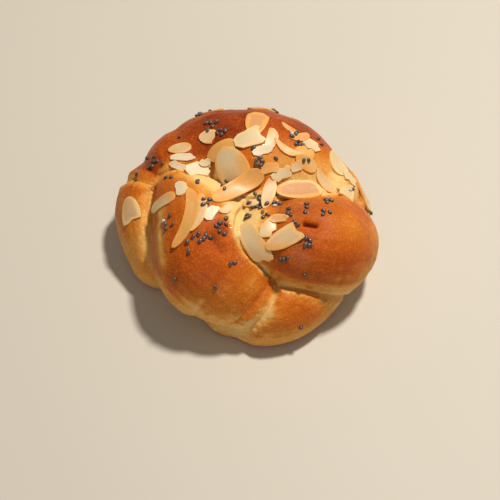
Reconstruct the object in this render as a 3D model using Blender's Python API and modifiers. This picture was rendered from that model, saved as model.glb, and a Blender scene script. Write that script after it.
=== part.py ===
"""Knotted brioche roll, strewn with flaked almonds and chia seeds.

Metres, +Z up, front towards -Y. The origin is the middle of the flat base.
The roll is one baked piece: swollen ropes of dough that have grown together, with the
almond flakes and the seeds stuck to the crust, so all of it is one solid.
"""

import math
import random
from collections import namedtuple

import bmesh
import bpy
import numpy as np
from mathutils import Matrix, Vector
from mathutils.bvhtree import BVHTree

MM = 0.001

# Driving dimensions: the baked roll, and the things on it.
ROLL_WIDTH = 104 * MM
ROLL_DEPTH = 97 * MM
ROLL_HEIGHT = 49 * MM
ROPE_RADIUS = 20 * MM
CRUMB_WIDTH = 80 * MM
CRUMB_DEPTH = 72 * MM
CRUMB_HEIGHT = 32 * MM
CRUMB_RISE = 8 * MM
FLAKE_THICKNESS = 0.9 * MM
SEED_LENGTH = 1.9 * MM
SEED_WIDTH = 1.3 * MM
SEED_HEIGHT = 1.1 * MM

CRUST_COLOUR = (0.42, 0.15, 0.035)
CRUST_ROUGHNESS = 0.4

# How finely the dough and its toppings are meshed.
DOUGH_GRAIN = 1.3 * MM
CRUST_TRIANGLES = 2400
CREASE_SMOOTHING = 3
ROPE_STEPS = 9
ROPE_SIDES = 7
CAP_RINGS = 5
FLAKE_PANEL_LENGTH = 4.5 * MM
FLAKE_PANEL_WIDTH = 3 * MM
SEED_SEGMENTS = 5
SEED_RINGS = 4
SMALLEST_EDGE = 0.0002 * MM

# How the toppings lie on the crust.
FLAKE_SINK = 0.35 * MM
FLAKE_SUPPLENESS = 0.75
TIGHTEST_FLAKE_BEND = 15 * MM
SEED_SINK = 0.3
PROBE_HEIGHT = 14 * MM
PROBE_COLUMNS = 9
PROBE_ROWS = 5
RANDOM_SEED = 31

# Toppings are placed by lines of sight from an eye that looks down on the roll.
SIGHT_ELEVATION = math.radians(53)
SIGHT_DISTANCE = 500 * MM
SIGHT_TARGET = Vector((2.0 * MM, -15 * MM, 20 * MM))
BACK_TARGET = Vector((0, 15 * MM, 20 * MM))
NEIGHBOUR = 1.5 * MM

# A station on a rope of dough: across, back and up as shares of the roll's width, depth
# and height, and girth as a share of the rope's radius.
Station = namedtuple("Station", "across back up girth")
ROPES = {
    "core": [
        Station(-0.12, 0.02, 0.29, 1.10),
        Station(0.04, 0.02, 0.29, 1.20),
        Station(0.175, 0.00, 0.29, 1.10),
    ],
    "front_left": [
        Station(-0.30, 0.195, 0.43, 0.40),
        Station(-0.27, 0.06, 0.51, 0.66),
        Station(-0.21, -0.07, 0.51, 0.955),
        Station(-0.175, -0.215, 0.395, 1.08),
        Station(-0.105, -0.275, 0.32, 0.97),
    ],
    "right": [
        Station(0.06, -0.175, 0.53, 0.725),
        Station(0.145, -0.175, 0.50, 0.95),
        Station(0.24, -0.165, 0.43, 1.04),
        Station(0.285, -0.11, 0.36, 1.00),
    ],
    "front_low": [
        Station(-0.08, -0.35, 0.15, 0.625),
        Station(0.02, -0.37, 0.17, 0.69),
        Station(0.11, -0.355, 0.18, 0.71),
        Station(0.19, -0.29, 0.185, 0.71),
        Station(0.265, -0.165, 0.18, 0.66),
    ],
    "left_low": [
        Station(-0.345, -0.10, 0.175, 0.69),
        Station(-0.38, 0.01, 0.23, 0.76),
        Station(-0.375, 0.135, 0.29, 0.81),
        Station(-0.275, 0.255, 0.27, 0.72),
    ],
    "back": [
        Station(-0.26, 0.235, 0.41, 0.93),
        Station(-0.13, 0.268, 0.44, 1.14),
        Station(0.01, 0.22, 0.45, 1.32),
        Station(0.13, 0.20, 0.45, 1.14),
        Station(0.26, 0.135, 0.37, 0.81),
    ],
    "back_low": [
        Station(-0.04, 0.35, 0.20, 0.65),
        Station(0.12, 0.35, 0.22, 0.725),
        Station(0.25, 0.27, 0.22, 0.725),
        Station(0.34, 0.125, 0.20, 0.65),
    ],
}

# A dent in the crust: where it is seen, its half length and heading, its radius and depth.
Dent = namedtuple("Dent", "across up heading half_length radius depth")
DENTS = [
    Dent(-16.5, 1.0, -55, 3.0, 1.8, 1.2),
    Dent(20.5, 9.0, -8, 1.8, 1.3, 2.6),
]

# An almond flake: where it is seen and which way it points in that view, its size in
# millimetres, and how it broke. Lower flakes come before those that lie on them.
Flake = namedtuple("Flake", "across up heading length width form")
# How far along the full almond outline a flake starts and how far it goes before it is cut.
TIP = 0.97
FAR_END = {"whole": 0.97, "sliver": 0.97, "shard": 0.9, "cut": 0.45}
FRONT_FLAKES = [
    Flake(-11.2, 38.2, 25, 13, 8, "whole"),
    Flake(-7.3, 32.0, -65, 17, 13, "whole"),
    Flake(-3.5, 23.5, 40, 22, 8.5, "whole"),
    Flake(-19.7, 14.7, 75, 16, 4, "sliver"),
    Flake(-24.3, 12.0, 68, 27, 6.5, "whole"),
    Flake(6.6, 8.1, 60, 7, 6, "shard"),
    Flake(1.5, 3.1, -57, 17, 8.5, "cut"),
    Flake(12.7, 4.2, 32, 14.5, 8, "cut"),
    Flake(2.3, 48.6, 75, 13, 8.5, "cut"),
    Flake(-0.8, 43.2, 20, 11, 8, "shard"),
    Flake(18.5, 22.8, 3, 18, 8, "whole"),
    Flake(33.5, 33.2, -60, 12, 9, "whole"),
    Flake(43.2, 23.1, -58, 17, 7, "whole"),
    Flake(-46.3, 15.8, -80, 10, 8.5, "cut"),
    Flake(7.0, 21.6, 75, 13, 5, "whole"),
    Flake(-33.5, 18.5, 28, 12.5, 4.5, "whole"),
    Flake(28.5, 26.2, -52, 12, 4.5, "sliver"),
    Flake(35.9, 21.2, -35, 10.5, 6, "cut"),
    Flake(-19.3, 30.0, 20, 9.5, 7.5, "shard"),
    Flake(-26.6, 24.0, -60, 8, 5.5, "shard"),
    Flake(20.8, 37.4, 0, 9, 6, "whole"),
    Flake(21.6, 33.5, -35, 10, 5.5, "whole"),
    Flake(-27.0, 39.0, 10, 9.5, 4.5, "whole"),
    Flake(-26.0, 35.8, 3, 9.5, 3.5, "shard"),
    Flake(-27.8, 32.4, -25, 7, 3.5, "shard"),
    Flake(8.0, 42.8, 70, 10, 4.5, "sliver"),
    Flake(5.0, 38.6, 25, 8.5, 4, "shard"),
    Flake(12.0, 29.3, 25, 8.5, 5, "shard"),
    Flake(-16.6, 43.6, 0, 6.5, 6, "cut"),
    Flake(23.5, 40.5, -20, 7.5, 6, "shard"),
    Flake(19.3, 43.6, 5, 10, 4, "sliver"),
    Flake(13.5, 39.3, -35, 11, 3, "sliver"),
    Flake(7.5, 31.6, 0, 6.5, 5, "shard"),
    Flake(38.2, 27.8, -40, 7.5, 5, "shard"),
    Flake(-15.0, 14.3, 45, 7, 5, "shard"),
    Flake(-9.6, 15.8, 25, 7.5, 3, "sliver"),
    Flake(11.2, 11.6, 15, 7.5, 5, "shard"),
    Flake(0.8, 18.0, 15, 7, 2.5, "sliver"),
    Flake(-17.0, 33.5, 2, 5, 3.5, "shard"),
    Flake(17.7, 32.0, 30, 5, 4, "shard"),
    Flake(14.7, 47.0, -35, 7, 3, "sliver"),
]
BACK_FLAKES = [
    Flake(-8.0, -13.0, 35, 15, 7.5, "whole"),
    Flake(14.0, -12.0, -40, 12, 6, "cut"),
    Flake(-22.0, -14.0, 80, 10, 5, "whole"),
    Flake(4.0, -21.0, -15, 9, 5.5, "shard"),
]

# A handful of seeds: where it is seen, how far it spreads and how many seeds it has.
Handful = namedtuple("Handful", "across up half_width half_height count")
FRONT_SEEDS = [
    Handful(-13.0, 47.0, 4.5, 2.6, 9),
    Handful(-27.5, 44.0, 1.0, 1.0, 1),
    Handful(-37.5, 33.5, 4.0, 3.5, 7),
    Handful(-44.0, 28.0, 2.0, 1.5, 2),
    Handful(-31.0, 28.5, 1.5, 2.0, 2),
    Handful(-20.0, 25.8, 1.2, 0.8, 2),
    Handful(-10.0, 25.5, 2.5, 2.0, 4),
    Handful(-17.0, 18.5, 2.0, 2.2, 4),
    Handful(-31.5, 11.0, 2.2, 3.5, 5),
    Handful(-23.5, 2.0, 1.0, 3.0, 2),
    Handful(-11.0, 9.5, 2.2, 4.5, 6),
    Handful(-18.8, 4.8, 2.6, 1.4, 6),
    Handful(-7.0, -5.2, 1.6, 0.6, 2),
    Handful(-28.5, -11.2, 0.5, 0.5, 1),
    Handful(-13.8, -14.3, 0.5, 0.5, 1),
    Handful(3.2, 34.2, 2.0, 1.6, 5),
    Handful(10.0, 35.5, 0.5, 0.5, 1),
    Handful(1.6, 39.0, 0.5, 0.5, 1),
    Handful(16.0, 46.0, 2.6, 2.4, 4),
    Handful(19.3, 41.3, 1.6, 1.2, 4),
    Handful(27.5, 41.5, 2.2, 1.8, 2),
    Handful(23.0, 34.5, 2.6, 3.0, 2),
    Handful(2.0, 18.5, 2.2, 3.6, 8),
    Handful(-0.8, 12.3, 1.2, 1.0, 3),
    Handful(9.0, 17.2, 3.0, 1.2, 5),
    Handful(6.0, 13.4, 1.6, 1.2, 3),
    Handful(15.5, 14.6, 1.2, 1.4, 3),
    Handful(21.3, 15.8, 1.2, 2.4, 3),
    Handful(17.0, 10.0, 1.6, 2.4, 2),
    Handful(29.8, 15.8, 2.2, 4.4, 6),
    Handful(22.5, 3.2, 1.6, 2.0, 4),
    Handful(14.0, -3.4, 3.4, 0.6, 3),
    Handful(21.5, -9.8, 0.5, 0.5, 1),
    Handful(38.5, 24.0, 1.4, 1.6, 2),
    Handful(46.7, 14.3, 0.5, 0.5, 1),
    Handful(19.3, -29.8, 0.5, 0.5, 1),
]
BACK_SEEDS = [
    Handful(-11.0, -12.0, 6.0, 3.0, 4),
    Handful(16.0, -14.0, 5.0, 3.0, 4),
    Handful(3.0, -19.0, 8.0, 3.0, 4),
]


def clear_scene():
    for item in list(bpy.data.objects):
        bpy.data.objects.remove(item)


def make_collection(name):
    collection = bpy.data.collections.new(name)
    bpy.context.scene.collection.children.link(collection)
    return collection


def make_material(name, colour, roughness):
    material = bpy.data.materials.new(name)
    material.use_nodes = True
    shader = material.node_tree.nodes["Principled BSDF"]
    shader.inputs["Base Color"].default_value = (*colour, 1)
    shader.inputs["Roughness"].default_value = roughness
    shader.inputs["Metallic"].default_value = 0
    return material


def add_object(name, mesh, collection):
    item = bpy.data.objects.new(name, mesh)
    collection.objects.link(item)
    return item


def evaluated_mesh(item):
    """The object's mesh as its modifiers make it, in world space."""
    bpy.context.view_layer.update()
    depsgraph = bpy.context.evaluated_depsgraph_get()
    mesh = bpy.data.meshes.new_from_object(item.evaluated_get(depsgraph))
    mesh.transform(item.matrix_world)
    return mesh


def rope_route(stations):
    """Points and radii along a smooth curve through the stations, with round ends."""
    marks = np.array(
        [
            (s.across * ROLL_WIDTH, s.back * ROLL_DEPTH, s.up * ROLL_HEIGHT, s.girth * ROPE_RADIUS)
            for s in stations
        ]
    )
    marks = np.vstack([2 * marks[0] - marks[1], marks, 2 * marks[-1] - marks[-2]])
    route = []
    for before, start, end, after in zip(marks, marks[1:], marks[2:], marks[3:]):
        for t in np.arange(ROPE_STEPS) / ROPE_STEPS:
            bend = (2 * before - 5 * start + 4 * end - after) * t**2
            twist = (3 * start - before - 3 * end + after) * t**3
            route.append((2 * start + (end - before) * t + bend + twist) / 2)
    route.append(marks[-2])
    return round_end(route[::-1])[::-1] + route + round_end(route)


def round_end(route):
    """The shrinking rings of a dome beyond the last point of a route."""
    tip, inner = route[-1], route[-2]
    outwards = (tip - inner)[:3] / np.linalg.norm((tip - inner)[:3])
    rings = []
    for ring in range(1, CAP_RINGS + 1):
        turn = math.radians(88) * ring / CAP_RINGS
        place = tip[:3] + outwards * tip[3] * math.sin(turn)
        rings.append(np.array([*place, tip[3] * math.cos(turn)]))
    return rings


def rope_mesh(name, stations, collection):
    """A closed tube of dough along the stations."""
    curve = bpy.data.curves.new(name, "CURVE")
    curve.dimensions = "3D"
    curve.bevel_depth = 1.0
    curve.bevel_resolution = ROPE_SIDES
    curve.use_fill_caps = True
    route = rope_route(stations)
    spline = curve.splines.new("POLY")
    spline.points.add(len(route) - 1)
    for point, (x, y, z, radius) in zip(spline.points, route):
        point.co = (x, y, z, 1)
        point.radius = radius
    rope = add_object(name, curve, collection)
    mesh = evaluated_mesh(rope)
    bpy.data.objects.remove(rope)
    shell = bmesh.new()
    shell.from_mesh(mesh)
    bmesh.ops.remove_doubles(shell, verts=shell.verts, dist=0.01 * MM)
    shell.to_mesh(mesh)
    shell.free()
    return mesh


def swell(point):
    """The slow unevenness of risen dough, in metres along the surface's normal."""
    x, y, z = (c / ROPE_RADIUS for c in point)
    slow = math.sin(2.3 * x + 1.1 * y + 0.4) * math.cos(1.9 * y - 1.3 * z + 0.9)
    quick = math.sin(4.7 * y - 3.9 * x + 2.0) * math.cos(4.3 * z + 3.1 * x)
    return 0.45 * MM * slow + 0.2 * MM * quick


def risen_dough(collection):
    """All the ropes grown together into one skin, before it is cut flat below."""
    dough = bmesh.new()
    for name, stations in ROPES.items():
        dough.from_mesh(rope_mesh(name, stations, collection))
    crumb = Matrix.Diagonal((CRUMB_WIDTH, CRUMB_DEPTH, CRUMB_HEIGHT, 1))
    crumb.translation.z = CRUMB_RISE
    bmesh.ops.create_uvsphere(dough, u_segments=32, v_segments=16, radius=0.5, matrix=crumb)
    mesh = bpy.data.meshes.new("dough")
    dough.to_mesh(mesh)
    dough.free()
    item = add_object("dough", mesh, collection)
    remesh = item.modifiers.new("grow together", "REMESH")
    remesh.mode = "VOXEL"
    remesh.voxel_size = DOUGH_GRAIN
    smooth = item.modifiers.new("soften creases", "SMOOTH")
    smooth.factor = 0.5
    smooth.iterations = CREASE_SMOOTHING
    skin = evaluated_mesh(item)
    bpy.data.objects.remove(item)
    return skin


def ground_of(*meshes):
    """A tree of the surfaces that toppings can lie on."""
    points, faces = [], []
    for mesh in meshes:
        first = len(points)
        points += [v.co.copy() for v in mesh.vertices]
        faces += [[first + i for i in p.vertices] for p in mesh.polygons]
    return BVHTree.FromPolygons(points, faces)


def sight(across, up, from_back=False):
    """The eye, and the direction in which it looks at a place in the tilted view."""
    turn = math.pi if from_back else 0.0
    right = Vector((math.cos(turn), math.sin(turn), 0))
    ahead = Vector((-math.sin(turn), math.cos(turn), 0))
    level, rise = math.cos(SIGHT_ELEVATION), math.sin(SIGHT_ELEVATION)
    target = BACK_TARGET if from_back else SIGHT_TARGET
    eye = target + (Vector((0, 0, rise)) - ahead * level) * SIGHT_DISTANCE
    upwards = ahead * rise + Vector((0, 0, level))
    seen = target + right * across + upwards * up
    return eye, (seen - eye).normalized()


def seen_place(ground, across, up, from_back=False):
    """Where a line of sight meets the roll, and the normal there.

    A line that misses is moved in towards the middle of the view until it meets the roll.
    """
    place = None
    while place is None:
        eye, direction = sight(across * MM, up * MM, from_back)
        place, normal, _, _ = ground.ray_cast(eye, direction)
        across, up = across * 0.98, up * 0.98
    return place, normal


def press_dents(mesh):
    """Pushes in the few deep dimples that the crust has."""
    ground = ground_of(mesh)
    normals = [vertex.normal.copy() for vertex in mesh.vertices]
    for dent in DENTS:
        reach = dent.half_length
        turn = math.radians(dent.heading)
        step = (math.cos(turn) * reach, math.sin(turn) * reach)
        start, _ = seen_place(ground, dent.across - step[0], dent.up - step[1])
        end, _ = seen_place(ground, dent.across + step[0], dent.up + step[1])
        line = end - start
        for vertex, normal in zip(mesh.vertices, normals):
            along = (vertex.co - start).dot(line) / line.length_squared
            nearest = start + line * min(1.0, max(0.0, along))
            gap = (vertex.co - nearest).length / (dent.radius * MM)
            vertex.co -= normal * dent.depth * MM * math.exp(-gap * gap)


def fit_to_size(shell):
    """Brings the risen dough to the roll's width, depth and height, with its base at zero."""
    low = [min(v.co[k] for v in shell.verts) for k in range(2)]
    high = [max(v.co[k] for v in shell.verts) for k in range(2)]
    top = max(v.co.z for v in shell.verts)
    for vertex in shell.verts:
        vertex.co.x = (vertex.co.x - (low[0] + high[0]) / 2) * ROLL_WIDTH / (high[0] - low[0])
        vertex.co.y = (vertex.co.y - (low[1] + high[1]) / 2) * ROLL_DEPTH / (high[1] - low[1])
        vertex.co.z *= ROLL_HEIGHT / top


def make_crust(collection):
    """The bare roll: swollen, dented, thinned to few triangles and cut flat below."""
    mesh = risen_dough(collection)
    heights = [swell(v.co) for v in mesh.vertices]
    normals = [v.normal.copy() for v in mesh.vertices]
    for vertex, normal, height in zip(mesh.vertices, normals, heights):
        vertex.co += normal * height
    mesh.update()
    press_dents(mesh)
    skin = add_object("skin", mesh, collection)
    thin = skin.modifiers.new("thin out", "DECIMATE")
    thin.ratio = CRUST_TRIANGLES / (2 * len(mesh.polygons))
    thinned = evaluated_mesh(skin)
    bpy.data.objects.remove(skin)
    shell = bmesh.new()
    shell.from_mesh(thinned)
    everything = shell.verts[:] + shell.edges[:] + shell.faces[:]
    cut = bmesh.ops.bisect_plane(
        shell, geom=everything, plane_co=(0, 0, 0), plane_no=(0, 0, 1), clear_inner=True
    )
    rim = [e for e in cut["geom_cut"] if isinstance(e, bmesh.types.BMEdge)]
    bmesh.ops.contextual_create(shell, geom=rim)
    fit_to_size(shell)
    bmesh.ops.recalc_face_normals(shell, faces=shell.faces)
    bmesh.ops.triangulate(shell, faces=shell.faces)
    crust = bpy.data.meshes.new("bread_roll")
    shell.to_mesh(crust)
    shell.free()
    return crust


def flake_half_width(flake, place, phase):
    """Half the flake's width at a place from -1 at its tip to 1 at its full far end."""
    swelling = max(0.0, 1 - abs(place) ** 2.3) ** 0.55
    if flake.form == "shard":
        ragged = 1 + 0.22 * math.sin(5 * place + phase)
        swelling = ragged * max(0.0, 1 - abs(place) ** 4) ** 0.5
    return flake.width * MM / 2 * swelling * (1 + 0.16 * place)


def flake_outline(flake, s, t, phase):
    """A point of the flat flake: s runs along it, t across it, both from -1 to 1."""
    share = (s + 1) / 2
    place = share * (FAR_END[flake.form] + TIP) - TIP
    x = s * flake.length * MM / 2
    y = t * flake_half_width(flake, place, phase)
    if flake.form in ("cut", "shard"):
        x += share**3 * 0.05 * flake.length * MM * math.sin(3 * t + phase)
    if flake.form == "sliver":
        y += 0.12 * flake.length * MM * (place * place - 0.4)
    return x, y


def resting_surface(ground, middle, along, side, normal, flake):
    """The shallow bowl or saddle in which a flake lies: six terms of a quadratic."""
    samples = []
    for s in np.linspace(-1, 1, PROBE_COLUMNS):
        for t in np.linspace(-1, 1, PROBE_ROWS):
            x, y = flake_outline(flake, s, t, 0)
            start = middle + along * x + side * y + normal * PROBE_HEIGHT
            hit = ground.ray_cast(start, -normal, 2 * PROBE_HEIGHT)
            if hit[0] is not None:
                samples.append((x, y, (hit[0] - middle).dot(normal)))
    x, y, h = np.array(samples).T
    terms = np.c_[np.ones_like(x), x, y, x * x, x * y, y * y]
    fit = np.linalg.lstsq(terms, h, rcond=None)[0]
    limit = 0.5 / TIGHTEST_FLAKE_BEND
    fit[3:] = np.clip(fit[3:] * FLAKE_SUPPLENESS, -limit, limit)
    fit[0] += np.max(h - terms @ fit) - FLAKE_SINK
    return fit


def flake_mesh(flake, ground, rng, from_back):
    """A thin wavy almond slice that rests on whatever lies highest under it."""
    middle, normal = seen_place(ground, flake.across, flake.up, from_back)
    turn = math.radians(flake.heading)
    ahead = (math.cos(turn) * NEIGHBOUR / MM, math.sin(turn) * NEIGHBOUR / MM)
    further, _ = seen_place(ground, flake.across + ahead[0], flake.up + ahead[1], from_back)
    normals = [normal]
    for s, t in ((-1, 0), (1, 0), (0, -1), (0, 1)):
        reach = (flake.length * s / 3, flake.width * t / 3)
        across = flake.across + reach[0] * math.cos(turn) - reach[1] * math.sin(turn)
        up = flake.up + reach[0] * math.sin(turn) + reach[1] * math.cos(turn)
        place, slope = seen_place(ground, across, up, from_back)
        if (place - middle).length < flake.length * MM:
            normals.append(slope)
    normal = sum(normals, Vector()).normalized()
    along = (further - middle).cross(normal).normalized()
    along = normal.cross(along)
    side = normal.cross(along)
    fit = resting_surface(ground, middle, along, side, normal, flake)
    phase = rng.uniform(0, 6)
    columns = max(3, round(flake.length * MM / FLAKE_PANEL_LENGTH))
    rows = 2 if flake.width * MM > 2 * FLAKE_PANEL_WIDTH else 1
    leaf = bmesh.new()
    bmesh.ops.create_grid(leaf, x_segments=columns, y_segments=rows, size=1)
    for vertex in leaf.verts:
        s = math.sin(vertex.co.x * math.pi / 2)
        x, y = flake_outline(flake, s, vertex.co.y, phase)
        height = fit @ np.array([1, x, y, x * x, x * y, y * y])
        vertex.co = middle + along * x + side * y + normal * height
    mesh = bpy.data.meshes.new("flake")
    leaf.to_mesh(mesh)
    leaf.free()
    return mesh


def thickened(mesh, collection):
    """The open leaf given its thickness, as a closed solid."""
    leaf = add_object("leaf", mesh, collection)
    wall = leaf.modifiers.new("thickness", "SOLIDIFY")
    wall.thickness = FLAKE_THICKNESS
    wall.offset = 1
    solid = evaluated_mesh(leaf)
    bpy.data.objects.remove(leaf)
    shell = bmesh.new()
    shell.from_mesh(solid)
    bmesh.ops.recalc_face_normals(shell, faces=shell.faces)
    bmesh.ops.triangulate(shell, faces=shell.faces)
    shell.to_mesh(solid)
    shell.free()
    return solid


def seed_mesh(place, normal, rng):
    """One chia seed, an egg on its side, sunk a little into what it lies on."""
    turn = rng.uniform(0, math.tau)
    side = normal.orthogonal().normalized()
    along = side * math.cos(turn) + normal.cross(side) * math.sin(turn)
    across = normal.cross(along)
    middle = place + normal * SEED_HEIGHT * (0.5 - SEED_SINK)
    seed = bmesh.new()
    bmesh.ops.create_uvsphere(seed, u_segments=SEED_SEGMENTS, v_segments=SEED_RINGS, radius=0.5)
    for vertex in seed.verts:
        x, y, z = vertex.co
        vertex.co = middle + along * z * SEED_LENGTH + across * y * SEED_WIDTH - normal * x * SEED_HEIGHT
    bmesh.ops.triangulate(seed, faces=seed.faces)
    mesh = bpy.data.meshes.new("seed")
    seed.to_mesh(mesh)
    seed.free()
    return mesh


def scattered_seeds(handfuls, ground, rng, from_back):
    """Seeds drawn at random inside each handful's oval, none on top of another."""
    meshes, taken = [], []
    for handful in handfuls:
        dropped = 0
        while dropped < handful.count:
            turn, reach = rng.uniform(0, math.tau), math.sqrt(rng.random())
            across = handful.across + handful.half_width * reach * math.cos(turn)
            up = handful.up + handful.half_height * reach * math.sin(turn)
            place, normal = seen_place(ground, across, up, from_back)
            dropped += 1
            if any((place - other).length < SEED_WIDTH for other in taken):
                continue
            taken.append(place)
            meshes.append(seed_mesh(place, normal, rng))
    return meshes


def lay_toppings(crust, collection):
    """All the flakes, each on what lies under it, and then the seeds."""
    rng = random.Random(RANDOM_SEED)
    laid = [crust]
    for flakes, from_back in ((FRONT_FLAKES, False), (BACK_FLAKES, True)):
        for flake in flakes:
            leaf = flake_mesh(flake, ground_of(*laid), rng, from_back)
            laid.append(thickened(leaf, collection))
    ground = ground_of(*laid)
    for handfuls, from_back in ((FRONT_SEEDS, False), (BACK_SEEDS, True)):
        laid += scattered_seeds(handfuls, ground, rng, from_back)
    return laid[1:]


def keep_outer_skin(mesh):
    """Leaves one clean skin: no hair-thin triangles, sealed pockets or loose scraps."""
    shell = bmesh.new()
    shell.from_mesh(mesh)
    bmesh.ops.triangulate(shell, faces=shell.faces)
    bmesh.ops.remove_doubles(shell, verts=shell.verts, dist=SMALLEST_EDGE)
    bmesh.ops.dissolve_degenerate(shell, edges=shell.edges, dist=SMALLEST_EDGE)
    bmesh.ops.triangulate(shell, faces=shell.faces)
    unvisited = set(shell.verts)
    islands = []
    while unvisited:
        island, edge_of_search = set(), [unvisited.pop()]
        while edge_of_search:
            vertex = edge_of_search.pop()
            island.add(vertex)
            neighbours = {edge.other_vert(vertex) for edge in vertex.link_edges} & unvisited
            unvisited -= neighbours
            edge_of_search += neighbours
        islands.append(island)
    islands.sort(key=len)
    for scrap in islands[:-1]:
        bmesh.ops.delete(shell, geom=list(scrap), context="VERTS")
    shell.to_mesh(mesh)
    shell.free()


def fuse(crust, toppings, name, collection):
    """Joins the toppings to the crust, as one solid."""
    roll = add_object(name, crust, collection)
    pieces = make_collection("toppings")
    for mesh in toppings:
        add_object("topping", mesh, pieces)
    union = roll.modifiers.new("fuse toppings", "BOOLEAN")
    union.operation = "UNION"
    union.operand_type = "COLLECTION"
    union.collection = pieces
    fused = evaluated_mesh(roll)
    roll.modifiers.clear()
    keep_outer_skin(fused)
    roll.data = fused
    for item in list(pieces.objects):
        bpy.data.objects.remove(item)
    bpy.data.collections.remove(pieces)
    return roll


def main():
    clear_scene()
    roll_parts = make_collection("bread roll")
    crust = make_crust(roll_parts)
    toppings = lay_toppings(crust, roll_parts)
    roll = fuse(crust, toppings, "bread_roll", roll_parts)
    roll.data.materials.clear()
    roll.data.materials.append(make_material("egg-washed crust", CRUST_COLOUR, CRUST_ROUGHNESS))
    roll.data.shade_smooth()


main()
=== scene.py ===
"""Knotted brioche roll with flaked almonds and chia seeds, dressed for a picture.

Metres, +Z up, front towards -Y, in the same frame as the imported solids. The crust is made
from the same ropes of dough as the solid that it replaces, only finer. The almond flakes
lie on the crust and on each other, and the seeds are dropped on all of it.
"""

import math
import random
from collections import namedtuple

import bmesh
import bpy
import numpy as np
from bpy.props import FloatProperty, FloatVectorProperty, IntProperty, PointerProperty
from mathutils import Matrix, Vector, noise
from mathutils.bvhtree import BVHTree


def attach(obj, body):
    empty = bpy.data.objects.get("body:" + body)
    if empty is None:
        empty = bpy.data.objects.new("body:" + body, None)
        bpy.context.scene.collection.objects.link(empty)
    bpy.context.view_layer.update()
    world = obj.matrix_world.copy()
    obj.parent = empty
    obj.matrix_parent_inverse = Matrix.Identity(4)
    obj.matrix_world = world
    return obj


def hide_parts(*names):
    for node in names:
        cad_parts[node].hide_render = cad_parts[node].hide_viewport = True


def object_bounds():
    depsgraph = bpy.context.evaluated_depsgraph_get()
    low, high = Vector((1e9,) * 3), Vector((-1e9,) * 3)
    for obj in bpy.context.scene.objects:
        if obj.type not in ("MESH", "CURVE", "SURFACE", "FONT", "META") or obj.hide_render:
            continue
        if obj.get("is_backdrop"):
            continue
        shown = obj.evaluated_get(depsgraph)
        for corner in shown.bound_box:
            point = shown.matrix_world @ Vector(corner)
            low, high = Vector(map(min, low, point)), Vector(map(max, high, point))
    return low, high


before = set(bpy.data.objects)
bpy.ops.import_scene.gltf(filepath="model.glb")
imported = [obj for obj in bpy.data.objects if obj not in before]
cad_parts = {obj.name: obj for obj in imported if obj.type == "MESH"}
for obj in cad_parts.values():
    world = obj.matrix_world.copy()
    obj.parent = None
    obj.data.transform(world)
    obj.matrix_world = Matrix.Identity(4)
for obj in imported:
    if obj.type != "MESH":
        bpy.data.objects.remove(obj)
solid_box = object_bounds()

bl_info = {
    "name": "Brioche Roll",
    "version": (1, 0, 0),
    "blender": (4, 5, 0),
    "location": "3D View > Sidebar > Brioche Roll",
    "description": "Bakes a knotted brioche roll with almond flakes and chia seeds",
    "category": "Add Mesh",
}

MM = 0.001
BODY = "root"
NODE = "bread_roll"

# The solid's overall width and depth; its height is that of the bare dough, without flakes.
ROLL_WIDTH = solid_box[1][0] - solid_box[0][0]
ROLL_DEPTH = solid_box[1][1] - solid_box[0][1]
ROLL_HEIGHT = 49 * MM

# Ropes of dough

# A station on a rope of dough: across, back and up as shares of the roll's width, depth
# and height, and girth as a share of the rope's radius.
Station = namedtuple("Station", "across back up girth")
ROPES = {
    "core": [
        Station(-0.12, 0.02, 0.29, 1.10),
        Station(0.04, 0.02, 0.29, 1.20),
        Station(0.175, 0.00, 0.29, 1.10),
    ],
    "front_left": [
        Station(-0.30, 0.195, 0.43, 0.40),
        Station(-0.27, 0.06, 0.51, 0.66),
        Station(-0.21, -0.07, 0.51, 0.955),
        Station(-0.175, -0.215, 0.395, 1.08),
        Station(-0.105, -0.275, 0.32, 0.97),
    ],
    "right": [
        Station(0.06, -0.175, 0.53, 0.725),
        Station(0.145, -0.175, 0.50, 0.95),
        Station(0.24, -0.165, 0.43, 1.04),
        Station(0.285, -0.11, 0.36, 1.00),
    ],
    "front_low": [
        Station(-0.08, -0.35, 0.15, 0.625),
        Station(0.02, -0.37, 0.17, 0.69),
        Station(0.11, -0.355, 0.18, 0.71),
        Station(0.19, -0.29, 0.185, 0.71),
        Station(0.265, -0.165, 0.18, 0.66),
    ],
    "left_low": [
        Station(-0.345, -0.10, 0.175, 0.69),
        Station(-0.38, 0.01, 0.23, 0.76),
        Station(-0.375, 0.135, 0.29, 0.81),
        Station(-0.275, 0.255, 0.27, 0.72),
    ],
    "back": [
        Station(-0.26, 0.235, 0.41, 0.93),
        Station(-0.13, 0.268, 0.44, 1.14),
        Station(0.01, 0.22, 0.45, 1.32),
        Station(0.13, 0.20, 0.45, 1.14),
        Station(0.26, 0.135, 0.37, 0.81),
    ],
    "back_low": [
        Station(-0.04, 0.35, 0.20, 0.65),
        Station(0.12, 0.35, 0.22, 0.725),
        Station(0.25, 0.27, 0.22, 0.725),
        Station(0.34, 0.125, 0.20, 0.65),
    ],
}
ROPE_STEPS = 9
ROPE_SIDES = 12
CAP_RINGS = 6
CRUMB_SIZE = (80 * MM, 72 * MM, 32 * MM)
CRUMB_RISE = 8 * MM
# How far the grain of one rope is moved along from that of the rope before it.
GRAIN_SHIFT = 0.3

# How brown each rope is baked on its crown, from 0 for raw dough to 1 for dark chestnut.
CROWN_BROWNING = {
    "front_left": 0.74,
    "right": 0.76,
    "front_low": 0.66,
    "left_low": 0.56,
    "back": 0.84,
    "back_low": 0.66,
}

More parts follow.
